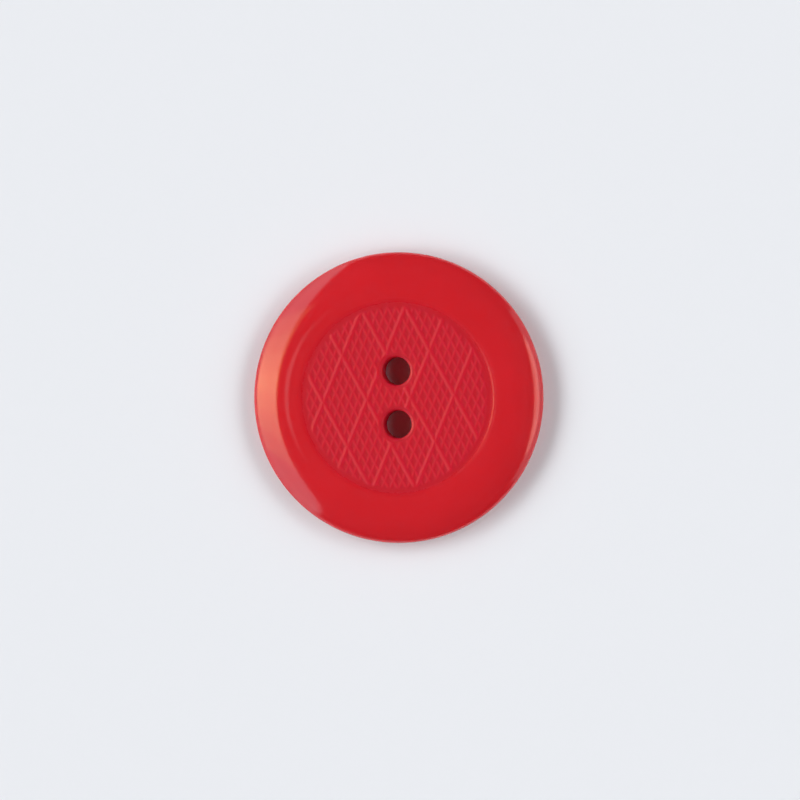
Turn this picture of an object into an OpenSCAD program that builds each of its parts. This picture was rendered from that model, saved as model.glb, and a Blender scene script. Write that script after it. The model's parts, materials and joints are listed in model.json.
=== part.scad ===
// Two-hole sew-through button, moulded in one piece.
// It lies on its flat back with +Z up. The origin is the centre of the back, and the thread holes lie along Y.
// Lengths are in millimetres and angles in degrees.

/* [Button] */
// Outside diameter
diameter = 23; // [18:0.5:34]
// Thickness from the flat back to the crest of the rim
thickness = 3; // [2.4:0.1:5]

/* [Rim] */
// Width of the rounded bevel between the crest of the rim and the widest line of the button
bevel_w = 2.95; // [2:0.05:4]
// Height of the crest above the widest line
bevel_h = 1.5; // [1.1:0.1:2]
// Radius of the outer edge
edge_r = 0.5; // [0.2:0.05:1.2]
// Width of the rounding between the widest line and the flat seat on the back
back_w = 2; // [1.2:0.1:4]
// Width of the flat land on the crest, inside the bevel
land_w = 0.6; // [0.2:0.05:1.2]

/* [Dished centre] */
// Width of the slope between the land and the flat floor of the dish
slope_w = 0.5; // [0.3:0.05:1]
// Depth of the floor below the crest
dish_depth = 0.08; // [0.06:0.01:0.2]
// Share of the slope's rounding that belongs to its upper, convex arc
roll_share = 0.55; // [0.3:0.05:0.9]

/* [Thread holes] */
// Diameter of each hole
hole_d = 2.2; // [1.6:0.1:3]
// Distance between the hole centres
hole_pitch = 4.2; // [3.8:0.1:6]
// Radius that eases both mouths of a hole
mouth_r = 0.25; // [0.05:0.05:0.4]

/* [Diamond lattice] */
// Plain border between the lattice and the edge of the dish's floor
border_w = 0.1; // [0.05:0.05:1]
// Distance between neighbouring ribs, measured square to them
rib_pitch = 3.12; // [2.4:0.02:5]
// Angle between each family of ribs and the long axis of the diamonds
rib_angle = 25.75; // [15:0.25:45]
// Width of a rib at its foot
rib_w = 0.56; // [0.3:0.02:0.6]
// Height of a rib above the floor of the dish
rib_h = 0.05; // [0.03:0.005:0.06]
// Width of the flat along the crest of each rib and each hatch line
crest_w = 0.1; // [0.02:0.02:0.2]
// Turn of the lattice from the line through the holes
lattice_turn = 2; // [-10:0.5:10]
// Place of a rib crossing along X
lattice_x = 1.1; // [-2:0.05:2]
// Place of that rib crossing along Y
lattice_y = 0; // [-2:0.05:2]

/* [Hatch] */
// Spaces that the fine hatch makes between two ribs
hatch_spaces = 5; // [1:1:5]
// Width of a hatch line at its foot
hatch_w = 0.4; // [0.1:0.02:0.44]
// Height of a hatch line above the floor of the dish
hatch_h = 0.02; // [0.01:0.005:0.03]

/* [Hidden] */
$fn = 96;

// Straight pieces in each arc of the rim's section, and in each small arc
arc_steps = 10;
small_arc_steps = 4;
// Most that the edge's radius may take of the height above or below it
edge_limit_share = 0.9;
// How far a cutter runs past the face that it cuts
overrun = 0.5;
// Depth to which a line's flanks run on below the floor, as a share of the line's height
root_share = 0.25;

outer_r = diameter / 2;
crest_r = outer_r - bevel_w;
seat_r = outer_r - back_w;
land_r = crest_r - land_w;
dish_r = land_r - slope_w;
lattice_r = dish_r - border_w;
hole_r = hole_d / 2;
floor_z = thickness - dish_depth;
edge_z = thickness - bevel_h;

// Outer edge: a small arc between the large arcs of the bevel and of the back
nose_r = min(edge_r, edge_limit_share * min(bevel_h, edge_z));
nose_x = outer_r - nose_r;
bevel_r = blend_r(bevel_w - nose_r, bevel_h, nose_r);
back_r = blend_r(back_w - nose_r, edge_z, nose_r);
bevel_angle = asin((bevel_w - nose_r) / (bevel_r - nose_r));
back_angle = asin((back_w - nose_r) / (back_r - nose_r));

// Slope from the land to the floor of the dish: a convex arc that runs into a concave one
slope_r = (slope_w * slope_w + dish_depth * dish_depth) / (2 * dish_depth);
slope_angle = asin(slope_w / slope_r);
roll_r = slope_r * roll_share;
cove_r = slope_r - roll_r;

hatch_pitch = rib_pitch / hatch_spaces;
// Number of lines on each side of the crossing that is enough to cover the lattice
line_reach = ceil((lattice_r + norm([lattice_x, lattice_y])) / hatch_pitch);

// Radius of an arc that starts level and runs into a nose of radius r. The nose's centre lies run away
// from that start along the level, and drop off the level
function blend_r(run, drop, r) = (run * run + drop * drop - r * r) / (2 * (drop - r));

// Points of an arc, with angles counted from +X towards +Z
function arc(centre, r, from, to, steps) = [
    for (i = [0:steps])
        let (a = from + (to - from) * i / steps)
            centre + r * [cos(a), sin(a)]
];

// Half section of the plain button, from the centre of the back round to the centre of the dish
module button_section() {
    polygon(concat(
        [[0, 0]],
        arc([seat_r, back_r], back_r, -90, back_angle - 90, arc_steps),
        arc([nose_x, edge_z], nose_r, back_angle - 90, 90 - bevel_angle, arc_steps),
        arc([crest_r, thickness - bevel_r], bevel_r, 90 - bevel_angle, 90, arc_steps),
        arc([land_r, thickness - roll_r], roll_r, 90, 90 + slope_angle, small_arc_steps),
        arc([dish_r, floor_z + cove_r], cove_r, slope_angle - 90, -90, small_arc_steps),
        [[0, floor_z]]
    ));
}

// Half section of a hole's cutter: a straight bore that opens out round both mouths
module hole_section() {
    flare_r = hole_r + mouth_r;
    polygon(concat(
        [[0, -overrun], [flare_r, -overrun]],
        arc([flare_r, mouth_r], mouth_r, 270, 180, small_arc_steps),
        arc([flare_r, floor_z - mouth_r], mouth_r, 180, 90, small_arc_steps),
        [[flare_r, thickness + overrun], [0, thickness + overrun]]
    ));
}

module thread_holes() {
    for (side = [-1, 1])
        translate([0, side * hole_pitch / 2, 0])
            rotate_extrude() hole_section();
}

// One raised line along Y, with its flat crest at z = h and its flanks run on into the floor
module raised_line(w, h, length) {
    root_z = -root_share * h;
    root_half_w = w / 2 + root_share * (w - crest_w) / 2;
    rotate([90, 0, 0])
        linear_extrude(length, center = true)
            polygon([
                [crest_w / 2, h],
                [-crest_w / 2, h],
                [-root_half_w, root_z],
                [0, 2 * root_z],
                [root_half_w, root_z]
            ]);
}

// Both families of lines, each line ending where its outer corner meets the lattice's circle
module lattice() {
    for (side = [-1, 1]) {
        turn = lattice_turn + side * rib_angle;
        phase = lattice_x * cos(turn) + lattice_y * sin(turn);
        for (i = [-line_reach:line_reach]) {
            place = phase + i * hatch_pitch;
            is_rib = i % hatch_spaces == 0;
            w = is_rib ? rib_w : hatch_w;
            h = is_rib ? rib_h : hatch_h;
            reach = abs(place) + w / 2;
            half_length_squared = lattice_r * lattice_r - reach * reach;
            if (half_length_squared > w * w)
                rotate([0, 0, turn])
                    translate([place, 0, floor_z])
                        raised_line(w, h, 2 * sqrt(half_length_squared));
        }
    }
}

module button() {
    color([0.79, 0.15, 0.18])
        difference() {
            union() {
                rotate_extrude() button_section();
                lattice();
            }
            thread_holes();
        }
}

button();
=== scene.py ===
"""A red two-hole sew-through button, dressed around its CAD frame. Lengths are in metres, +Z is up."""

import json
import math

import bpy
import numpy as np
from mathutils import Matrix, Vector
from mathutils.geometry import delaunay_2d_cdt


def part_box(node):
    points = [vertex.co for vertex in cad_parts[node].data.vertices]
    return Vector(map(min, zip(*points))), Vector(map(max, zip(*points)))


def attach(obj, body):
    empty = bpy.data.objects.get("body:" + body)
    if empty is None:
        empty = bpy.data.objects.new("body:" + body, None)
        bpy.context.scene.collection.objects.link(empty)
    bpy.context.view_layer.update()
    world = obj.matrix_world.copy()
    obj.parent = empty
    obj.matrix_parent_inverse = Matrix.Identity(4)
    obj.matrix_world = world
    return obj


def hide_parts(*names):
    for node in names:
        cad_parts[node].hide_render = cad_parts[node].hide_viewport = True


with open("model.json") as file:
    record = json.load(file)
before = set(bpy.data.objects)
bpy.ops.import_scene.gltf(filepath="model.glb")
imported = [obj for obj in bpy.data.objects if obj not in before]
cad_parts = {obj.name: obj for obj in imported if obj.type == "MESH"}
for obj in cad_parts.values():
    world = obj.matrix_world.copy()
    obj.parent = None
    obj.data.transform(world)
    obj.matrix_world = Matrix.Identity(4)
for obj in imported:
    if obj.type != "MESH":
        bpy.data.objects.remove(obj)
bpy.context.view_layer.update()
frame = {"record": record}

MM = 0.001

# Sizes that the frame gives
LOW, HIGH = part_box("button")
OUTER_R = (HIGH.x - LOW.x) / 2
THICKNESS = HIGH.z - LOW.z
HOLES = [mount for mount in frame["record"]["mounts"] if mount["kind"] == "bore"]
HOLE_R = HOLES[0]["dims"]["r_mm"] * MM
HOLE_CENTRES = [mount["pos_m"][:2] for mount in HOLES]

# Rim and back
BEVEL_W = 2.95 * MM
BEVEL_H = 1.5 * MM
EDGE_R = 0.5 * MM
BACK_W = 2.0 * MM
LAND_W = 0.6 * MM

# Dished centre
SLOPE_W = 0.5 * MM
DISH_DEPTH = 0.08 * MM
ROLL_SHARE = 0.55
MOUTH_R = 0.25 * MM

# Diamond lattice and hatch
BORDER_W = 0.1 * MM
RIB_PITCH = 3.12 * MM
RIB_ANGLE = math.radians(25.75)
RIB_W = 0.56 * MM
RIB_H = 0.05 * MM
LATTICE_TURN = math.radians(2)
LATTICE_CENTRE = np.array([1.1, 0.0]) * MM
HATCH_SPACES = 5
HATCH_W = 0.4 * MM
HATCH_H = 0.02 * MM

# Places that follow from those sizes
CREST_R = OUTER_R - BEVEL_W
LAND_R = CREST_R - LAND_W
DISH_R = LAND_R - SLOPE_W
LATTICE_R = DISH_R - BORDER_W
SEAT_R = OUTER_R - BACK_W
FLARE_R = HOLE_R + MOUTH_R
EDGE_Z = THICKNESS - BEVEL_H
DISH_Z = THICKNESS - DISH_DEPTH
HATCH_PITCH = RIB_PITCH / HATCH_SPACES
LINE_TURNS = (LATTICE_TURN - RIB_ANGLE, LATTICE_TURN + RIB_ANGLE)
LINE_NORMALS = np.array([(math.cos(turn), math.sin(turn)) for turn in LINE_TURNS])

# Fineness of the mesh
RIM_COUNT = 288
HOLE_COUNT = 96
ARC_STEPS = 14
SMALL_ARC_STEPS = 8
NODES_PER_SPACE = 12
# Narrow ring beside a rounded edge, so that its shading doesn't spread over the flat next to it
GUARD = 0.04 * MM
# Widths over which the lattice sinks into the floor of the dish at its own edge and at a hole's mouth
BORDER_FADE_W = 0.4 * MM
MOUTH_FADE_W = 0.12 * MM
# Triangulation keeps the whole hull, and takes points nearer than SAME_POINT, in millimetres, as one
WHOLE_HULL = 0
SAME_POINT = 1e-6


def smooth_step(values, start, end):
    """0 before start, 1 after end and a smooth rise between."""
    share = np.clip((values - start) / (end - start), 0, 1)
    return share * share * (3 - 2 * share)


def arc(centre, radius, start, end, steps):
    """Points of an arc in a section, with angles in degrees from +X towards +Z."""
    angles = np.radians(np.linspace(start, end, steps + 1))
    return [(centre[0] + radius * math.cos(a), centre[1] + radius * math.sin(a)) for a in angles]


def blend_radius(run, drop, nose):
    """Radius of an arc that starts level and runs into a nose centred run along and drop off the level."""
    return (run * run + drop * drop - nose * nose) / (2 * (drop - nose))


def rim_section():
    """Half section from the flat seat on the back, round the edge, to the floor of the dish."""
    nose_x = OUTER_R - EDGE_R
    bevel_r = blend_radius(BEVEL_W - EDGE_R, BEVEL_H, EDGE_R)
    back_r = blend_radius(BACK_W - EDGE_R, EDGE_Z, EDGE_R)
    bevel_angle = math.degrees(math.asin((BEVEL_W - EDGE_R) / (bevel_r - EDGE_R)))
    back_angle = math.degrees(math.asin((BACK_W - EDGE_R) / (back_r - EDGE_R)))
    slope_r = (SLOPE_W ** 2 + DISH_DEPTH ** 2) / (2 * DISH_DEPTH)
    slope_angle = math.degrees(math.asin(SLOPE_W / slope_r))
    roll_r = slope_r * ROLL_SHARE
    cove_r = slope_r - roll_r
    section = [(SEAT_R - GUARD, 0)]
    section += arc((SEAT_R, back_r), back_r, -90, back_angle - 90, ARC_STEPS)
    section += arc((nose_x, EDGE_Z), EDGE_R, back_angle - 90, 90 - bevel_angle, ARC_STEPS)[1:]
    section += arc((CREST_R, THICKNESS - bevel_r), bevel_r, 90 - bevel_angle, 90, ARC_STEPS)[1:]
    section += [(CREST_R - GUARD, THICKNESS), (LAND_R + GUARD, THICKNESS)]
    section += arc((LAND_R, THICKNESS - roll_r), roll_r, 90, 90 + slope_angle, SMALL_ARC_STEPS)
    section += arc((DISH_R, DISH_Z + cove_r), cove_r, slope_angle - 90, -90, SMALL_ARC_STEPS)[1:]
    return section


def hole_section():
    """Half section of a hole, from the floor of the dish down to the back."""
    section = [(FLARE_R + GUARD, DISH_Z)]
    section += arc((FLARE_R, DISH_Z - MOUTH_R), MOUTH_R, 90, 180, SMALL_ARC_STEPS)
    section += [(HOLE_R, DISH_Z - MOUTH_R - GUARD), (HOLE_R, MOUTH_R + GUARD)]
    section += arc((FLARE_R, MOUTH_R), MOUTH_R, 180, 270, SMALL_ARC_STEPS)
    section += [(FLARE_R + GUARD, 0)]
    return section


def line_profile(distance, width):
    """Height of a raised line's soft section, from 1 on its crest to 0 at its foot."""
    return 1 - smooth_step(np.abs(distance), 0, width / 2)


def relief(points):
    """Height of the lattice and its hatch above the floor of the dish at points (x, y)."""
    height = np.zeros(len(points))
    for normal in LINE_NORMALS:
        across = (points - LATTICE_CENTRE) @ normal
        index = np.round(across / HATCH_PITCH)
        distance = across - index * HATCH_PITCH
        is_rib = index % HATCH_SPACES == 0
        rib = RIB_H * line_profile(distance, RIB_W)
        hatch = HATCH_H * line_profile(distance, HATCH_W)
        height = np.maximum(height, np.where(is_rib, rib, hatch))
    height *= 1 - smooth_step(np.hypot(*points.T), LATTICE_R - BORDER_FADE_W, LATTICE_R)
    for centre in HOLE_CENTRES:
        gap = np.hypot(*(points - centre).T) - FLARE_R
        height *= smooth_step(gap, GUARD, GUARD + MOUTH_FADE_W)
    return height


def lattice_grid():
    """Points of a grid that runs along both families of lines, and the short lines between neighbours."""
    step = HATCH_PITCH / NODES_PER_SPACE
    reach = math.ceil((DISH_R + np.hypot(*LATTICE_CENTRE)) / step)
    places = np.arange(-reach, reach + 1)
    index = np.stack(np.meshgrid(places, places, indexing="ij"), axis=-1).reshape(-1, 2)
    points = LATTICE_CENTRE + index * step @ np.linalg.inv(LINE_NORMALS).T
    inside = np.hypot(*points.T) < DISH_R - GUARD
    for centre in HOLE_CENTRES:
        inside &= np.hypot(*(points - centre).T) > FLARE_R + 2 * GUARD
    number = {cell: k for k, cell in enumerate(map(tuple, index[inside].tolist()))}
    lines = []
    for (i, j), k in number.items():
        for neighbour in ((i + 1, j), (i, j + 1)):
            if neighbour in number:
                lines.append((k, number[neighbour]))
    return points[inside], lines


class Skin:
    """Points and faces of one closed surface."""

    def __init__(self):
        self.points = []
        self.faces = []

    def ring(self, centre, radius, z, count):
        """Adds a level ring of points, and returns their numbers."""
        first = len(self.points)
        for k in range(count):
            angle = 2 * math.pi * k / count
            x = centre[0] + radius * math.cos(angle)
            y = centre[1] + radius * math.sin(angle)
            self.points.append((x, y, z))
        return list(range(first, first + count))

    def lathe(self, centre, section, count):
        """Turns a half section about a vertical axis, and returns its first and last rings."""
        rings = [self.ring(centre, radius, z, count) for radius, z in section]
        for lower, upper in zip(rings, rings[1:]):
            for k in range(count):
                following = (k + 1) % count
                self.faces.append((lower[k], lower[following], upper[following], upper[k]))
        return rings[0], rings[-1]

    def cover(self, outline, openings, extra=(), lines=()):
        """Fills an outline apart from its openings, through extra points and lines between those."""
        base = len(self.points)
        self.points += [tuple(point) for point in extra]
        loops = [outline, *openings]
        used = [k for loop in loops for k in loop] + list(range(base, len(self.points)))
        place = {k: n for n, k in enumerate(used)}
        edges = [(place[a], place[b]) for loop in loops for a, b in zip(loop, loop[1:] + loop[:1])]
        edges += [(place[base + a], place[base + b]) for a, b in lines]
        flat = [Vector(self.points[k][:2]) / MM for k in used]
        _, _, triangles, sources, _, _ = delaunay_2d_cdt(flat, edges, [], WHOLE_HULL, SAME_POINT)
        lids = [set(opening) for opening in openings]
        for triangle in triangles:
            corners = tuple(used[sources[k][0]] for k in triangle)
            if not any(lid.issuperset(corners) for lid in lids):
                self.faces.append(corners)

    def make(self, name):
        """Makes the surface an object with outward normals and smooth shading."""
        mesh = bpy.data.meshes.new(name)
        mesh.from_pydata(self.points, [], self.faces)
        mesh.validate()
        made = bpy.data.objects.new(name, mesh)
        bpy.context.scene.collection.objects.link(made)
        bpy.context.view_layer.objects.active = made
        made.select_set(True)
        bpy.ops.object.mode_set(mode="EDIT")
        bpy.ops.mesh.select_all(action="SELECT")
        bpy.ops.mesh.normals_make_consistent(inside=False)
        bpy.ops.object.mode_set(mode="OBJECT")
        mesh.shade_smooth()
        return made


def make_button():
    """Rim and holes turned from their sections, the lattice across the dish, and the seat on the back."""
    skin = Skin()
    seat, dish = skin.lathe((0, 0), rim_section(), RIM_COUNT)
    mouths = [skin.lathe(centre, hole_section(), HOLE_COUNT) for centre in HOLE_CENTRES]
    points, lines = lattice_grid()
    heights = DISH_Z + relief(points)
    skin.cover(dish, [top for top, _ in mouths], np.column_stack([points, heights]), lines)
    skin.cover(seat, [bottom for _, bottom in mouths])
    return skin.make("button_moulding")


# Vectors that pick the height of a place, and its part on the level
UP = (0, 0, 1)
LEVEL = (1, 1, 0)
# Sockets of a Mix node by the kind of what it mixes: first input, second input and result
MIX_SOCKETS = {"RGBA": (6, 7, 2), "FLOAT": (2, 3, 0)}


def feed(tree, node, inputs):
    """Gives a node's inputs their values, and links those that are given a socket."""
    for key, value in inputs.items():
        if isinstance(value, bpy.types.NodeSocket):
            tree.links.new(value, node.inputs[key])
        else:
            node.inputs[key].default_value = value


def add_node(tree, kind, inputs, **settings):
    """A new node with its settings and inputs."""
    node = tree.nodes.new(kind)
    for name, value in settings.items():
        setattr(node, name, value)
    feed(tree, node, inputs)
    return node


def math_node(tree, operation, *operands):
    """Result of an operation on values."""
    inputs = dict(enumerate(operands))
    return add_node(tree, "ShaderNodeMath", inputs, operation=operation).outputs["Value"]


def vector_node(tree, operation, output, *operands):
    """Result of an operation on vectors, taken from the output named."""
    inputs = dict(enumerate(operands))
    return add_node(tree, "ShaderNodeVectorMath", inputs, operation=operation).outputs[output]


def map_range(tree, value, start, end, low, high):
    """Value from start..end carried to low..high with a smooth rise."""
    inputs = {"Value": value, "From Min": start, "From Max": end, "To Min": low, "To Max": high}
    return add_node(tree, "ShaderNodeMapRange", inputs, interpolation_type="SMOOTHSTEP").outputs["Result"]


def mix(tree, kind, share, first, second):
    """First where share is 0, second where it is 1."""
    first_socket, second_socket, result = MIX_SOCKETS[kind]
    inputs = {0: share, first_socket: first, second_socket: second}
    return add_node(tree, "ShaderNodeMix", inputs, data_type=kind).outputs[result]


def noise(tree, where, scale, detail):
    """Value of a noise texture at a place."""
    inputs = {"Vector": where, "Scale": scale, "Detail": detail}
    return add_node(tree, "ShaderNodeTexNoise", inputs).outputs["Fac"]


def new_material(name):
    """A new material, its nodes and its shader."""
    material = bpy.data.materials.new(name)
    material.use_nodes = True
    return material, material.node_tree, material.node_tree.nodes["Principled BSDF"]


# Colours of the plastic: two that cloud the rim, one on the raised lines, and a darker one between them
# that is painted shade in the hollows of the lattice
RIM_RED = (0.69, 0.021, 0.031, 1)
DEEP_RED = (0.63, 0.018, 0.026, 1)
LINE_RED = (0.64, 0.006, 0.028, 1)
# Painted shade: a darker red for the floor of the dish between the raised lines
DISH_SHADE_RED = (0.56, 0.004, 0.022, 1)

# Sizes of the plastic's own unevenness, as noise cells to the metre, and their detail
CLOUD_SCALE = 260
CLOUD_DETAIL = 3
PEEL_SCALE = 1400
GRAIN_SCALE = 9000
BUMP_DETAIL = 2
# Heights of the bumps that are too fine for the mesh, and the share of each that shows
PEEL_H = 0.004 * MM
PEEL_SHARE = 0.3
GRAIN_H = 0.002 * MM
GRAIN_SHARE = 0.5
# Span of the noise that carries the roughness from its lowest to its highest
NOISE_SPAN = (0.3, 0.7)
RIM_ROUGHNESS = (0.1, 0.14)
FIELD_ROUGHNESS = (0.48, 0.56)
REFRACTION = 1.53
# Light that enters the plastic: its share, its reach, and what part of that reach red, green and blue have
SCATTER_SHARE = 0.6
SCATTER_REACH = 2.5 * MM
SCATTER_PARTS = (1.0, 0.2, 0.2)


def plastic():
    """Red polyester: a glossy rim, a softer sheen on the lattice, faint clouding, fine surface grain, and
    painted shade on the floor of the dish between the raised lines.
    """
    material, tree, shader = new_material("red_plastic")
    where = add_node(tree, "ShaderNodeTexCoord", {}).outputs["Object"]
    height = vector_node(tree, "DOT_PRODUCT", "Value", where, UP)
    level = vector_node(tree, "MULTIPLY", "Vector", where, LEVEL)
    radius = vector_node(tree, "LENGTH", "Value", level)
    centre = map_range(tree, radius, LATTICE_R - BORDER_FADE_W, LAND_R, 1, 0)
    raised = map_range(tree, height, DISH_Z, DISH_Z + HATCH_H, 0, 1)

    cloud = noise(tree, where, CLOUD_SCALE, CLOUD_DETAIL)
    peel = noise(tree, where, PEEL_SCALE, BUMP_DETAIL)
    grain = noise(tree, where, GRAIN_SCALE, BUMP_DETAIL)

    rim_colour = mix(tree, "RGBA", cloud, DEEP_RED, RIM_RED)
    # The floor of the dish between the raised lines gets the darker red, as painted shade in the lattice's
    # hollows
    field_colour_and_shade = mix(tree, "RGBA", raised, DISH_SHADE_RED, LINE_RED)
    rim_roughness = map_range(tree, peel, *NOISE_SPAN, *RIM_ROUGHNESS)
    field_roughness = map_range(tree, grain, *NOISE_SPAN, *FIELD_ROUGHNESS)

    peel_bump = {"Strength": PEEL_SHARE, "Distance": PEEL_H, "Height": peel}
    peel_normal = add_node(tree, "ShaderNodeBump", peel_bump).outputs["Normal"]
    grain_bump = {"Strength": GRAIN_SHARE, "Distance": GRAIN_H, "Height": grain, "Normal": peel_normal}
    grain_normal = add_node(tree, "ShaderNodeBump", grain_bump).outputs["Normal"]

    surface = {
        "Base Color": mix(tree, "RGBA", centre, rim_colour, field_colour_and_shade),
        "Roughness": mix(tree, "FLOAT", centre, rim_roughness, field_roughness),
        "Normal": grain_normal,
        "IOR": REFRACTION,
        "Subsurface Weight": SCATTER_SHARE,
        "Subsurface Radius": SCATTER_PARTS,
        "Subsurface Scale": SCATTER_REACH,
    }
    feed(tree, shader, surface)
    return material


button = make_button()
button.data.materials.append(plastic())
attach(button, "root")
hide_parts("button")

# Ground under the button
GROUND_HALF = 2.0
GROUND_GAP = 0.01 * MM
GROUND_CORNERS = ((-1, -1), (1, -1), (1, 1), (-1, 1))
GROUND_COLOUR = (0.85, 0.87, 0.91, 1)
GROUND_ROUGHNESS = 0.9
GROUND_GLOSS = 0.1


def make_ground():
    """A wide flat sheet just under the button, which belongs to the stage."""
    mesh = bpy.data.meshes.new("floor")
    corners = [(x * GROUND_HALF, y * GROUND_HALF, -GROUND_GAP) for x, y in GROUND_CORNERS]
    mesh.from_pydata(corners, [], [range(len(corners))])
    made = bpy.data.objects.new("floor", mesh)
    bpy.context.scene.collection.objects.link(made)
    material, tree, shader = new_material("pale_floor")
    surface = {
        "Base Color": GROUND_COLOUR,
        "Roughness": GROUND_ROUGHNESS,
        "Specular IOR Level": GROUND_GLOSS,
    }
    feed(tree, shader, surface)
    mesh.materials.append(material)


make_ground()

# Share of its box that an ellipse fills
ELLIPSE_SHARE = math.pi / 4

# Lamps on the left: a wide softbox, and panels one behind the other, each wider than the last, that make
# a warm lamp brightest along its middle. Angles are in degrees, and radiance is red, green and blue.
SIDE_SOFTBOX = {
    "azimuth": 170.5,
    "polar": 97,
    "distance": 0.4,
    "size": (1.74, 1.06),
    "radiance": (1.2, 1.5, 1.65),
    "shape": "ELLIPSE",
    "roll": 46,
}
WARM_PANEL = {"azimuth": 173, "polar": 66, "radiance": (1.15, 0.8, 0.29)}
WARM_WIDTHS = (0.034, 0.11, 0.2, 0.33)
WARM_HEIGHT = 0.36
WARM_DISTANCE = 0.3
WARM_GAP = 0.01

# A small round lamp high above the button, and two wide ones low on the right
TOP_LAMP = {
    "azimuth": 175,
    "polar": 14,
    "distance": 0.5,
    "size": (0.07, 0.07),
    "radiance": (1.0, 1.0, 1.0),
    "shape": "ELLIPSE",
}
LOW_LAMP = {
    "azimuth": 0,
    "polar": 72.3,
    "distance": 0.4,
    "size": (0.4, 0.1),
    "radiance": (4.4, 2.1, 1.7),
    "shape": "ELLIPSE",
}
LOW_EDGE = {
    "azimuth": 0,
    "polar": 79.5,
    "distance": 0.4,
    "size": (0.66, 0.11),
    "radiance": (0.8, 0.95, 1.0),
}


def turned(angle, axis):
    """Matrix of a turn about an axis of space."""
    return Matrix.Rotation(angle, 3, axis)


def lamp(name, azimuth, polar, distance, size, radiance, shape="RECTANGLE", roll=0):
    """An area light that shows only as a highlight. It is aimed at the button from a direction in degrees,
    azimuth from +X and polar from +Z, and turned about that direction by roll."""
    azimuth = math.radians(azimuth)
    polar = math.radians(polar)
    level = math.sin(polar)
    away = Vector((level * math.cos(azimuth), level * math.sin(azimuth), math.cos(polar)))
    area = size[0] * size[1]
    if shape == "ELLIPSE":
        area *= ELLIPSE_SHARE
    light = bpy.data.lights.new(name, "AREA")
    light.shape = shape
    light.size, light.size_y = size
    light.energy = max(radiance) * math.pi * area
    light.color = [part / max(radiance) for part in radiance]
    made = bpy.data.objects.new(name, light)
    made.location = away * distance
    aim = away.to_track_quat("Z", "Y").to_matrix() @ turned(math.radians(roll), "Z")
    made.rotation_euler = aim.to_euler()
    made.visible_camera = False
    made.visible_diffuse = False
    bpy.context.scene.collection.objects.link(made)


lamp("side_softbox", **SIDE_SOFTBOX)
for step, width in enumerate(WARM_WIDTHS):
    lamp("warm_panel", distance=WARM_DISTANCE + step * WARM_GAP, size=(width, WARM_HEIGHT), **WARM_PANEL)
lamp("top_lamp", **TOP_LAMP)
lamp("low_lamp", **LOW_LAMP)
lamp("low_edge", **LOW_EDGE)

# A room with a broad soft light high on the left and another on the right. The left one is brighter, and
# both reach further round to the back than to the front. They are brightest between BRIGHT_TOP and
# BRIGHT_FOOT, and fade towards the ceiling and the horizon. Angles are from +Z, apart from the azimuth.
SIDE_LIGHT = 4.8
LEFT_AZIMUTH = math.radians(181)
LEFT_LEAN = 0.21
BACK_LEAN = 0.12
SIDE_EDGE_SHARE = 0.65
SIDE_FULL_SHARE = 0.95
FRONT_LIGHT = 0.5
CEILING_LIGHT = 0.01
CEILING_EDGE = math.radians(28)
BRIGHT_TOP = math.radians(38)
BRIGHT_FOOT = math.radians(40)
HORIZON_EDGE = math.radians(74)
HORIZON_LIGHT = 0.1
WHITE = (1, 1, 1, 1)


def make_world():
    """The room lights the scene softly, and doesn't show in reflections."""
    world = bpy.data.worlds.new("room")
    bpy.context.scene.world = world
    world.use_nodes = True
    world.cycles_visibility.glossy = False
    tree = world.node_tree
    where = add_node(tree, "ShaderNodeTexCoord", {}).outputs["Generated"]
    height = vector_node(tree, "DOT_PRODUCT", "Value", where, UP)
    level = vector_node(tree, "MULTIPLY", "Vector", where, LEVEL)
    heading = vector_node(tree, "NORMALIZE", "Vector", level)
    left_axis = (math.cos(LEFT_AZIMUTH), math.sin(LEFT_AZIMUTH), 0)
    left = vector_node(tree, "DOT_PRODUCT", "Value", heading, left_axis)
    back = vector_node(tree, "DOT_PRODUCT", "Value", heading, (0, BACK_LEAN, 0))
    side = math_node(tree, "ADD", math_node(tree, "ABSOLUTE", left), back)
    light = map_range(tree, left, -1, 1, SIDE_LIGHT * (1 - LEFT_LEAN), SIDE_LIGHT * (1 + LEFT_LEAN))
    light = map_range(tree, side, SIDE_EDGE_SHARE, SIDE_FULL_SHARE, FRONT_LIGHT, light)
    light = map_range(tree, height, math.cos(HORIZON_EDGE), math.cos(BRIGHT_FOOT), HORIZON_LIGHT, light)
    light = map_range(tree, height, math.cos(BRIGHT_TOP), math.cos(CEILING_EDGE), light, CEILING_LIGHT)
    feed(tree, tree.nodes["Background"], {"Color": WHITE, "Strength": light})


make_world()

# Camera, nearly straight above the button and turned so that its line of holes leans as in the photograph.
# The picture's side, the width of the outline in it and the outline's centre are in pixels.
FRAME_PX = 800
OUTLINE_PX = 291
CENTRE_PX = (398.6, 397.6)
HOLE_LEAN = math.radians(1.35)
CAMERA_DISTANCE = 0.6
CAMERA_TILT = math.radians(6)
SENSOR = 0.036


def make_camera():
    """Camera that sees the button's outline at its size and place in the picture's frame."""
    pixel = 2 * OUTER_R / OUTLINE_PX
    data = bpy.data.cameras.new("camera")
    data.sensor_width = SENSOR / MM
    data.lens = data.sensor_width * CAMERA_DISTANCE / (pixel * FRAME_PX)
    made = bpy.data.objects.new("camera", data)
    turn = turned(CAMERA_TILT, "Y") @ turned(-HOLE_LEAN, "Z")
    right = (FRAME_PX / 2 - CENTRE_PX[0]) * pixel
    up = (CENTRE_PX[1] - FRAME_PX / 2) * pixel
    made.location = Vector((0, 0, EDGE_Z)) + turn @ Vector((right, up, CAMERA_DISTANCE))
    made.rotation_euler = turn.to_euler()
    bpy.context.scene.collection.objects.link(made)
    bpy.context.scene.camera = made


make_camera()
bpy.context.scene.view_settings.view_transform = "Standard"
